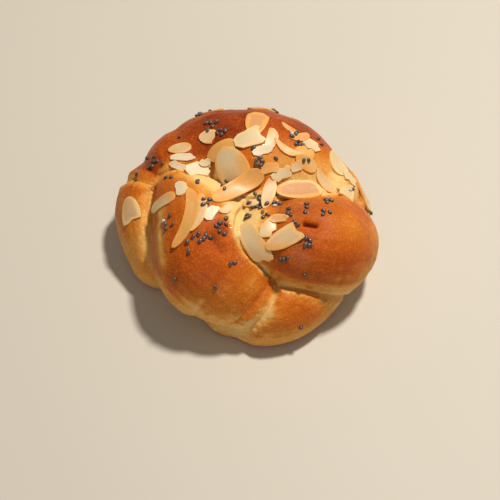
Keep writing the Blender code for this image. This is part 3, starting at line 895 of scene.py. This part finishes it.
def cut_flat(mesh, dough):
    """Cuts the dough flat where it stands and fits it to the roll's size."""
    shell = bmesh.new()
    shell.from_mesh(mesh)
    everything = shell.verts[:] + shell.edges[:] + shell.faces[:]
    cut = bmesh.ops.bisect_plane(
        shell, geom=everything, plane_co=(0, 0, 0), plane_no=(0, 0, 1), clear_inner=True
    )
    rim = [edge for edge in cut["geom_cut"] if isinstance(edge, bmesh.types.BMEdge)]
    base = bmesh.ops.contextual_create(shell, geom=rim)["faces"]
    bmesh.ops.triangulate(shell, faces=base)
    shell.to_mesh(mesh)
    shell.free()
    points = points_of(mesh)
    low, high = points.min(axis=0), points.max(axis=0)
    middle = (low + high) / 2
    points[:, 0] = (points[:, 0] - middle[0]) * dough.width / (high[0] - low[0])
    points[:, 1] = (points[:, 1] - middle[1]) * dough.depth / (high[1] - low[1])
    points[:, 2] *= dough.height / high[2]
    move_points(mesh, points)


def crust_material(look):
    """Egg-washed crust: glossy chestnut crowns, golden sides, pale stretched creases, and painted
    shade in the burst hole.
    """
    recipe = Recipe("egg_washed_crust")
    baked = recipe.measured("baked")
    seam = recipe.measured("seam")
    hollow = recipe.measured("hollow")
    glaze = recipe.measured("glaze")
    clouds = recipe.noise(95, 3, 0.55) - 0.5
    blotches = recipe.noise(330, 4, 0.65) - 0.5
    speckles = recipe.ramp(recipe.noise(1500, 2, 0.6), 0.48, 0.70)
    beside_crease = 1 - recipe.ramp(seam, 0.0, 6.0)
    grain = recipe.node("ShaderNodeAttribute", {"attribute_name": "grain"}, output="Vector")
    drawn = recipe.node("ShaderNodeMapping", {}, {"Vector": grain, "Scale": (0.16, 1, 1)})
    streaks = recipe.noise(620, 3, 0.6, drawn) - 0.5
    brown = baked + 0.22 * clouds + 0.20 * blotches + 0.18 * streaks * (0.5 + beside_crease)
    brown = brown - 0.19 * speckles
    stops = [
        (0.04, look.pale),
        (0.28, look.golden),
        (0.52, look.amber),
        (0.78, look.chestnut),
        (1.0, look.dark),
    ]
    colour = recipe.colours(brown, stops)
    split = recipe.node("ShaderNodeSeparateXYZ", {}, {0: recipe.place()}, output="Z")
    underside = 1 - recipe.ramp(split + 0.0012 * clouds, 0.0004, 0.0030)
    colour = recipe.blend(0.8 * underside, colour, look.chestnut)
    # Painted shade: the bottom of the burst hole turns near-black red, partly dark crust and partly
    # the shade inside the hole.
    dark_crust_and_hole_shade = recipe.ramp(hollow, 0.2, 0.7)
    colour = recipe.blend(0.9 * dark_crust_and_hole_shade, colour, look.dark_crust_and_hole_shade)
    calm = recipe.ramp(hollow, 0.0, 0.0002)
    glossy = recipe.ramp(baked, 0.22, 0.7) * (1 - underside)
    blisters = recipe.cells(760)
    pores = recipe.noise(2400, 2, 0.55)
    soft_lumps = recipe.noise(280, 2, 0.5)
    fibres = recipe.noise(1100, 2, 0.6, drawn)
    height = 0.30 * soft_lumps + 0.26 * (1 - blisters) + 0.20 * pores
    height = height + (0.16 + 0.34 * beside_crease) * fibres
    height = height + 1.8 * glaze * recipe.noise(1000, 3, 0.65)
    return recipe.finish(
        Base_Color=colour,
        Roughness=0.60 - 0.12 * glossy + 0.10 * (recipe.noise(500) - 0.5) + 0.2 * calm,
        Specular_IOR_Level=0.12,
        Coat_Weight=((look.coat * glossy + 0.9 * glaze) * (1 - calm)).clamped(),
        Coat_Roughness=0.09,
        Coat_IOR=1.5,
        Subsurface_Weight=0.10,
        Subsurface_Radius=(0.9, 0.35, 0.12),
        Subsurface_Scale=0.003,
        Normal=recipe.bump(height, 0.5 * MM),
    )


class BRIOCHE_OT_bake_crust(bpy.types.Operator):
    """Grow the ropes of dough together and bake them"""

    bl_idname = "brioche.bake_crust"
    bl_label = "Bake Crust"

    def execute(self, context):
        settings = context.scene.brioche
        dough = settings.dough
        routes = {name: rope_route(stations, dough) for name, stations in ROPES.items()}
        mesh = risen_dough(routes, dough)
        points = points_of(mesh)
        knot = Knot(points, routes)
        height = swell(points, dough) + skin_folds(points, knot, dough)
        move_points(mesh, points + normals_of(mesh) * height[:, None])
        hollow = press_dents(mesh)
        store(mesh, "baked", browning(mesh, knot, hollow))
        store(mesh, "seam", np.clip(knot.seam / MM, 0, 12))
        store(mesh, "hollow", hollow)
        store(mesh, "glaze", np.clip(patchwork(mesh, GLAZE), 0, 1))
        grain = mesh.attributes.new("grain", "FLOAT_VECTOR", "POINT")
        grain.data.foreach_set("vector", knot.place.astype(np.float32).ravel())
        cut_flat(mesh, dough)
        mesh.shade_smooth()
        mesh.materials.clear()
        mesh.materials.append(crust_material(settings.crust))
        crust = new_object("crust", mesh)
        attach(crust, BODY)
        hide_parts(NODE)
        return {"FINISHED"}


# The almond flakes


def broken_edge(place, phase):
    """The straight-sided edge of a broken piece, as a share of its half width."""
    marks = np.array([-1, -0.55, -0.1, 0.35, 0.75, 1])
    heights = 0.82 + 0.18 * np.sin(phase * (3 + 4 * np.arange(6)))
    heights[0] *= 0.35 + 0.25 * math.sin(5 * phase)
    heights[-1] *= 0.5 + 0.3 * math.sin(9 * phase)
    return np.interp(place, marks, heights)


def flake_half_width(flake, place, t, phase):
    """Half the flake's width at places from -1 at its tip to 1 at its full far end."""
    if flake.form == "shard":
        swelling = np.where(t > 0, broken_edge(place, phase), broken_edge(place, phase + 2))
    elif flake.form in ("crescent", "strip", "slab"):
        swelling = np.clip(1 - np.abs(place) ** 5, 0, 1) ** 0.55 * (1 + 0.1 * place)
    else:
        blunt = np.where(place < 0, 0.6, 0.5)
        swelling = np.clip(1 - np.abs(place) ** 2.3, 0, 1) ** blunt * (1 + 0.12 * place)
    return flake.width * MM / 2 * swelling


def flake_outline(flake, s, t, phase):
    """Points of the flat flake: s runs along it, t across it, both from -1 to 1."""
    share = (s + 1) / 2
    place = share * (FAR_END[flake.form] + TIP) - TIP
    x = s * flake.length * MM / 2
    y = t * flake_half_width(flake, place, t, phase)
    if flake.form in ("cut", "slab", "shard"):
        chipped = np.sin(2.2 * t + phase) + 0.22 * np.sin(7 * t + 3 * phase)
        x = x + share**3 * 0.07 * flake.length * MM * chipped
    bow = BOWS.get(flake.form, 0.03 * math.sin(4 * phase))
    y = y + bow * flake.length * MM * (place * place - 0.4)
    return x, y


def quadratic(x, y):
    return np.stack([np.ones_like(x), x, y, x * x, x * y, y * y], axis=-1)


def flake_axes(flake, ground, from_back):
    """The flake's middle, the way it points, its other side and the way it faces."""
    middle, normal = ground.seen_place(flake.across, flake.up, from_back)
    turn = math.radians(flake.heading)
    cos, sin = math.cos(turn), math.sin(turn)
    ahead = (flake.across + cos * NEIGHBOUR, flake.up + sin * NEIGHBOUR)
    further, _ = ground.seen_place(*ahead, from_back)
    facing = normal.copy()
    for s, t in ((-1, 0), (1, 0), (0, -1), (0, 1)):
        reach = (flake.length * s / 3, flake.width * t / 3)
        across = flake.across + reach[0] * cos - reach[1] * sin
        up = flake.up + reach[0] * sin + reach[1] * cos
        place, slope = ground.seen_place(across, up, from_back)
        if (place - middle).length < flake.length * MM:
            facing += slope
    facing.normalize()
    side = (further - middle).cross(facing).normalized()
    along = facing.cross(side)
    return middle, along, facing.cross(along), facing


def resting_form(flake, ground, axes, almonds):
    """The shallow bowl or saddle in which a stiff flake lies, as a quadratic."""
    middle, along, side, facing = axes
    places = []
    for s in np.linspace(-1, 1, PROBE_COLUMNS):
        for t in np.linspace(-1, 1, PROBE_ROWS):
            x, y = flake_outline(flake, s, t, 0)
            start = middle + along * x + side * y + facing * PROBE_HEIGHT
            place, _ = ground.first_hit(start, -facing, 2 * PROBE_HEIGHT)
            if place is not None:
                places.append((x, y, (place - middle).dot(facing)))
    x, y, height = np.array(places).T
    terms = quadratic(x, y)
    fit = np.linalg.lstsq(terms, height, rcond=None)[0]
    limit = 0.5 / almonds.tightest_bend
    fit[3:] = np.clip(fit[3:] * almonds.suppleness, -limit, limit)
    fit[0] += np.percentile(height - terms @ fit, SUPPORT) - almonds.sink
    return fit


def flake_leaf(flake, ground, rng, from_back, almonds):
    """An open almond slice that rests on whatever lies highest under it."""
    axes = flake_axes(flake, ground, from_back)
    middle, along, side, facing = (np.array(axis) for axis in axes)
    fit = resting_form(flake, ground, axes, almonds)
    phase = rng.uniform(0, 6)
    leaf = bmesh.new()
    bmesh.ops.create_grid(leaf, x_segments=FLAKE_COLUMNS, y_segments=FLAKE_ROWS, size=1)
    mesh = bpy.data.meshes.new("leaf")
    leaf.to_mesh(mesh)
    leaf.free()
    flat = points_of(mesh)
    s = np.sin(flat[:, 0] * math.pi / 2)
    t = flat[:, 1]
    x, y = flake_outline(flake, s, t, phase)
    ripple = 0.12 * MM * np.sin(x / (2.1 * MM) + phase) * np.cos(y / (1.7 * MM) + 2 * phase)
    height = quadratic(x, y) @ fit + ripple
    place = middle + x[:, None] * along + y[:, None] * side + height[:, None] * facing
    move_points(mesh, place)
    rim = np.maximum(np.abs(t) ** 1.5, np.abs(s) ** 3)
    uneven = 0.22 * np.sin(1.7 * s + 1.3 * t + phase)
    store(mesh, "rim", rim)
    store(mesh, "toast", np.clip(flake.toast + uneven * (0.4 + flake.toast), 0, 1))
    store(mesh, "heart", np.full(len(s), flake.heart))
    store(mesh, "white", np.full(len(s), flake.white))
    return mesh


def top_of(leaf, thickness):
    """The upper side of a leaf once it has its thickness, for the next one to lie on."""
    top = leaf.copy()
    move_points(top, points_of(leaf) + normals_of(leaf) * thickness)
    return top


def almond_material(look):
    """Baked almond: waxy cream with a see-through heart, toasted edges and white breaks."""
    recipe = Recipe("flaked_almond")
    rim = recipe.measured("rim")
    toast = recipe.measured("toast")
    heart = recipe.measured("heart")
    white = recipe.measured("white")
    fibres = recipe.noise(700, 3, 0.6, recipe.stretched((1.0, 1.0, 2.5)), 0.4)
    patches = recipe.noise(210, 2, 0.5) - 0.5
    centre = 1 - recipe.ramp(rim + 0.5 * patches, 0.38, 0.66)
    colour = recipe.blend(0.85 * centre, look.cream, look.waxy)
    toasted = (toast * (0.75 + 0.75 * rim) + 0.6 * patches).clamped()
    colour = recipe.blend(recipe.ramp(toasted, 0.06, 0.72), colour, look.toasted)
    colour = recipe.blend((heart * centre * 0.9).clamped(), colour, look.red_heart)
    chalky = recipe.ramp(white + 0.5 * patches, 0.2, 0.9)
    colour = recipe.blend(0.85 * chalky, colour, look.white)
    colour = recipe.blend(0.30 * recipe.ramp(fibres, 0.5, 0.8), colour, look.white)
    height = 0.5 * fibres + 0.5 * recipe.noise(1900, 2)
    return recipe.finish(
        Base_Color=colour,
        Roughness=0.48 + 0.14 * (fibres - 0.5),
        Coat_Weight=0.15 * (1 - chalky),
        Coat_Roughness=0.3,
        Subsurface_Weight=0.25,
        Subsurface_Radius=(1.0, 0.55, 0.25),
        Subsurface_Scale=0.0016,
        Normal=recipe.bump(height, 0.09 * MM),
    )


class BRIOCHE_OT_strew_almonds(bpy.types.Operator):
    """Lay the almond flakes on the crust and on each other"""

    bl_idname = "brioche.strew_almonds"
    bl_label = "Strew Almonds"

    def execute(self, context):
        settings = context.scene.brioche
        almonds = settings.almonds
        rng = random.Random(settings.seeds.scatter)
        ground = Ground(bpy.data.objects["crust"].data)
        heap = bmesh.new()
        for flakes, from_back in ((FRONT_FLAKES, False), (BACK_FLAKES, True)):
            for flake in flakes:
                leaf = flake_leaf(flake, ground, rng, from_back, almonds)
                ground.add(top_of(leaf, almonds.thickness))
                heap.from_mesh(leaf)
        leaves = bpy.data.meshes.new("leaves")
        heap.to_mesh(leaves)
        heap.free()
        item = new_object("leaves", leaves)
        wall = item.modifiers.new("thickness", "SOLIDIFY")
        wall.thickness = almonds.thickness
        wall.offset = 1
        edge = item.modifiers.new("worn edge", "BEVEL")
        edge.width = almonds.edge
        edge.segments = 2
        edge.limit_method = "ANGLE"
        edge.angle_limit = math.radians(55)
        mesh = evaluated_mesh(item)
        bpy.data.objects.remove(item)
        mesh.shade_smooth()
        mesh.materials.clear()
        mesh.materials.append(almond_material(almonds))
        flakes = new_object("almond_flakes", mesh)
        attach(flakes, BODY)
        return {"FINISHED"}


# The chia seeds


def seed_places(seeds):
    """Where the seeds land: place, normal of what they lie on, and how pale each is."""
    ground = Ground(bpy.data.objects["crust"].data, bpy.data.objects["almond_flakes"].data)
    rng = random.Random(seeds.scatter)
    landed = []
    for handfuls, from_back in ((FRONT_SEEDS, False), (BACK_SEEDS, True)):
        for handful in handfuls:
            wanted = len(landed) + handful.count
            spread = 1.0
            while len(landed) < wanted:
                turn, reach = rng.uniform(0, math.tau), spread * math.sqrt(rng.random())
                across = handful.across + handful.half_width * reach * math.cos(turn)
                up = handful.up + handful.half_height * reach * math.sin(turn)
                place, normal = ground.seen_place(across, up, from_back)
                spread += 0.01
                if all((place - other).length > seeds.width for other, _, _ in landed):
                    landed.append((place, normal, float(rng.random() < PALE_SEED_SHARE)))
    return landed


def seed_points(landed):
    """A loose point for each seed, with what the node tree needs to know of it."""
    mesh = bpy.data.meshes.new("seed points")
    mesh.from_pydata([place for place, _, _ in landed], [], [])
    facing = mesh.attributes.new("facing", "FLOAT_VECTOR", "POINT")
    facing.data.foreach_set("vector", np.array([normal for _, normal, _ in landed]).ravel())
    store(mesh, "pale", [pale for _, _, pale in landed])
    return mesh


class Tree:
    """A geometry node tree, and the calls that add to it."""

    def __init__(self, name):
        self.group = bpy.data.node_groups.new(name, "GeometryNodeTree")
        self.entry = self.group.nodes.new("NodeGroupInput")

    def setting(self, name, kind):
        """Adds a named input, and returns its output socket in the tree."""
        self.group.interface.new_socket(name, in_out="INPUT", socket_type=kind)
        return self.entry.outputs[name]

    def node(self, kind, settings=None, inputs=None, output=0):
        """Adds a node, sets its settings, then its sockets, and returns one output."""
        made = self.group.nodes.new(kind)
        for setting, value in (settings or {}).items():
            setattr(made, setting, value)
        for socket, value in (inputs or {}).items():
            if isinstance(value, bpy.types.NodeSocket):
                self.group.links.new(value, made.inputs[socket])
            else:
                made.inputs[socket].default_value = value
        return made.outputs[output]

    def math(self, operation, first, second=0.0):
        return self.node("ShaderNodeMath", {"operation": operation}, {0: first, 1: second})

    def finish(self, geometry):
        self.group.interface.new_socket(
            "Geometry", in_out="OUTPUT", socket_type="NodeSocketGeometry"
        )
        leave = self.group.nodes.new("NodeGroupOutput")
        self.group.links.new(geometry, leave.inputs[0])
        return self.group


def seed_tree():
    """Puts a chia seed on each point: an egg on its side, one end blunter."""
    tree = Tree("chia seeds")
    points = tree.setting("Points", "NodeSocketGeometry")
    length = tree.setting("Length", "NodeSocketFloat")
    width = tree.setting("Width", "NodeSocketFloat")
    height = tree.setting("Height", "NodeSocketFloat")
    rise = tree.setting("Rise", "NodeSocketFloat")
    variation = tree.setting("Variation", "NodeSocketFloat")
    scatter = tree.setting("Scatter", "NodeSocketInt")
    finish = tree.setting("Finish", "NodeSocketMaterial")
    ball = tree.node("GeometryNodeMeshUVSphere", {}, {"Segments": 14, "Rings": 9, "Radius": 0.5})
    place = tree.node("GeometryNodeInputPosition")
    x, y, z = (tree.node("ShaderNodeSeparateXYZ", {}, {0: place}, axis) for axis in range(3))
    narrowing = tree.math("SUBTRACT", 1.0, tree.math("MULTIPLY", x, 0.42))
    shaped = {
        0: tree.math("MULTIPLY", x, length),
        1: tree.math("MULTIPLY", tree.math("MULTIPLY", y, width), narrowing),
        2: tree.math("MULTIPLY", tree.math("MULTIPLY", z, height), narrowing),
    }
    egg_place = tree.node("ShaderNodeCombineXYZ", {}, shaped)
    egg = tree.node("GeometryNodeSetPosition", {}, {"Geometry": ball, "Position": egg_place})
    facing = tree.node(
        "GeometryNodeInputNamedAttribute", {"data_type": "FLOAT_VECTOR"}, {"Name": "facing"}
    )
    lift = tree.node("ShaderNodeVectorMath", {"operation": "SCALE"}, {0: facing, "Scale": rise})
    lifted = tree.node("GeometryNodeSetPosition", {}, {"Geometry": points, "Offset": lift})
    upright = tree.node("FunctionNodeAlignRotationToVector", {"axis": "Z"}, {"Vector": facing})
    any_turn = tree.node(
        "FunctionNodeRandomValue", {"data_type": "FLOAT"}, {2: 0.0, 3: math.tau, "Seed": scatter}, 1
    )
    spin = tree.node("FunctionNodeAxisAngleToRotation", {}, {"Axis": (0, 0, 1), "Angle": any_turn})
    turned = tree.node(
        "FunctionNodeRotateRotation",
        {"rotation_space": "LOCAL"},
        {"Rotation": upright, "Rotate By": spin},
    )
    bounds = {
        2: tree.math("SUBTRACT", 1.0, variation),
        3: tree.math("ADD", 1.0, variation),
        "Seed": tree.math("ADD", scatter, 1.0),
    }
    size = tree.node("FunctionNodeRandomValue", {"data_type": "FLOAT"}, bounds, 1)
    inputs = {"Points": lifted, "Instance": egg, "Rotation": turned, "Scale": size}
    strewn = tree.node("GeometryNodeInstanceOnPoints", {}, inputs)
    real = tree.node("GeometryNodeRealizeInstances", {}, {"Geometry": strewn})
    smooth = tree.node("GeometryNodeSetShadeSmooth", {}, {"Geometry": real})
    finished = tree.node("GeometryNodeSetMaterial", {}, {"Geometry": smooth, "Material": finish})
    return tree.finish(finished)


def seed_material(look):
    """Chia: dark, glossy and faintly marbled, with a few pale ones."""
    recipe = Recipe("chia_seed")
    marbling = recipe.ramp(recipe.noise(2300, 3, 0.6, None, 1.2), 0.46, 0.68)
    dark = recipe.blend(0.75 * marbling, look.dark, look.veins)
    light = recipe.blend(0.5 * marbling, look.pale, look.veins)
    return recipe.finish(
        Base_Color=recipe.blend(recipe.measured("pale"), dark, light),
        Roughness=0.36 + 0.12 * marbling,
        Coat_Weight=0.35,
        Coat_Roughness=0.2,
        Normal=recipe.bump(recipe.noise(4200, 2), 0.03 * MM),
    )


class BRIOCHE_OT_strew_seeds(bpy.types.Operator):
    """Drop the chia seeds on the crust and the flakes"""

    bl_idname = "brioche.strew_seeds"
    bl_label = "Strew Seeds"

    def execute(self, context):
        look = context.scene.brioche.seeds
        item = new_object("seed points", seed_points(seed_places(look)))
        strewing = item.modifiers.new("strew", "NODES")
        strewing.node_group = seed_tree()
        values = {
            "Length": look.length,
            "Width": look.width,
            "Height": look.height,
            "Rise": look.height * (0.5 - look.sink),
            "Variation": look.variation,
            "Scatter": look.scatter,
            "Finish": seed_material(look),
        }
        for socket in strewing.node_group.interface.items_tree:
            if socket.name in values:
                strewing[socket.identifier] = values[socket.name]
        mesh = evaluated_mesh(item)
        bpy.data.objects.remove(item)
        seeds = new_object("chia_seeds", mesh)
        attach(seeds, BODY)
        return {"FINISHED"}


# The stage


LIGHT_DISTANCE = 1.0
KEY_DIRECTION = (0.28, 0.25, 0.92)
KEY_COLOUR = (1, 0.96, 0.9)
FRONT_DIRECTION = (-0.1, -0.85, 0.4)
FRONT_COLOUR = (1, 0.93, 0.82)
FRONT_SIZE = 0.7
FILL_COLOUR = (1, 0.98, 0.95)
FLOOR_HALF_WIDTH = 2.0
SENSOR_WIDTH = 36


def floor_material(look):
    """Plain, matt and pale."""
    recipe = Recipe("pale_floor")
    return recipe.finish(Base_Color=(*look.floor, 1), Roughness=0.6)


def add_camera(look):
    """Looks down on the roll as the photograph does."""
    data = bpy.data.cameras.new("camera")
    data.sensor_width = SENSOR_WIDTH
    data.lens = look.focal_length
    camera = new_object("camera", data)
    eye, ahead = sight(0, 0)
    camera.location = eye
    camera.rotation_euler = ahead.to_track_quat("-Z", "Y").to_euler()
    bpy.context.scene.camera = camera


def add_light(name, direction, width, power, colour):
    data = bpy.data.lights.new(name, "AREA")
    data.shape = "DISK"
    data.size = width
    data.energy = power
    data.color = colour
    light = new_object(name, data)
    towards = Vector(direction).normalized()
    light.location = towards * LIGHT_DISTANCE
    light.rotation_euler = towards.to_track_quat("Z", "Y").to_euler()


class BRIOCHE_OT_set_stage(bpy.types.Operator):
    """Add the floor, the lights and the camera"""

    bl_idname = "brioche.set_stage"
    bl_label = "Set Stage"

    def execute(self, context):
        look = context.scene.brioche.stage
        plane = bmesh.new()
        bmesh.ops.create_grid(plane, x_segments=1, y_segments=1, size=FLOOR_HALF_WIDTH)
        mesh = bpy.data.meshes.new("floor")
        plane.to_mesh(mesh)
        plane.free()
        mesh.materials.append(floor_material(look))
        new_object("floor", mesh)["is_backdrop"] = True
        add_camera(look)
        add_light("key", KEY_DIRECTION, look.key_size, look.key_light, KEY_COLOUR)
        add_light("front", FRONT_DIRECTION, FRONT_SIZE, look.front_light, FRONT_COLOUR)
        world = bpy.data.worlds.new("studio")
        world.use_nodes = True
        background = world.node_tree.nodes["Background"]
        background.inputs["Color"].default_value = (*FILL_COLOUR, 1)
        background.inputs["Strength"].default_value = look.fill_light
        context.scene.world = world
        context.scene.view_settings.view_transform = "Standard"
        return {"FINISHED"}


class BRIOCHE_PT_sidebar(bpy.types.Panel):
    """The roll's settings and the steps that make it"""

    bl_idname = "BRIOCHE_PT_sidebar"
    bl_label = "Brioche Roll"
    bl_space_type = "VIEW_3D"
    bl_region_type = "UI"
    bl_category = "Brioche Roll"

    def draw(self, context):
        settings = context.scene.brioche
        steps = (
            (settings.dough, None),
            (settings.crust, "brioche.bake_crust"),
            (settings.almonds, "brioche.strew_almonds"),
            (settings.seeds, "brioche.strew_seeds"),
            (settings.stage, "brioche.set_stage"),
        )
        for group, step in steps:
            box = self.layout.box()
            for name in group.bl_rna.properties.keys():
                if name not in ("rna_type", "name"):
                    box.prop(group, name)
            if step:
                box.operator(step)


CLASSES = (
    DoughSettings,
    CrustSettings,
    AlmondSettings,
    SeedSettings,
    StageSettings,
    BriocheSettings,
    BRIOCHE_OT_bake_crust,
    BRIOCHE_OT_strew_almonds,
    BRIOCHE_OT_strew_seeds,
    BRIOCHE_OT_set_stage,
    BRIOCHE_PT_sidebar,
)


def register():
    for each in CLASSES:
        bpy.utils.register_class(each)
    bpy.types.Scene.brioche = PointerProperty(type=BriocheSettings)


def unregister():
    del bpy.types.Scene.brioche
    for each in reversed(CLASSES):
        bpy.utils.unregister_class(each)


def main():
    register()
    bpy.ops.brioche.bake_crust()
    bpy.ops.brioche.strew_almonds()
    bpy.ops.brioche.strew_seeds()
    bpy.ops.brioche.set_stage()
    boxes = {"solid": solid_box, "dressed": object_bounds()}
    boxes = {name: [list(corner) for corner in corners] for name, corners in boxes.items()}


if __name__ == "__main__":
    main()
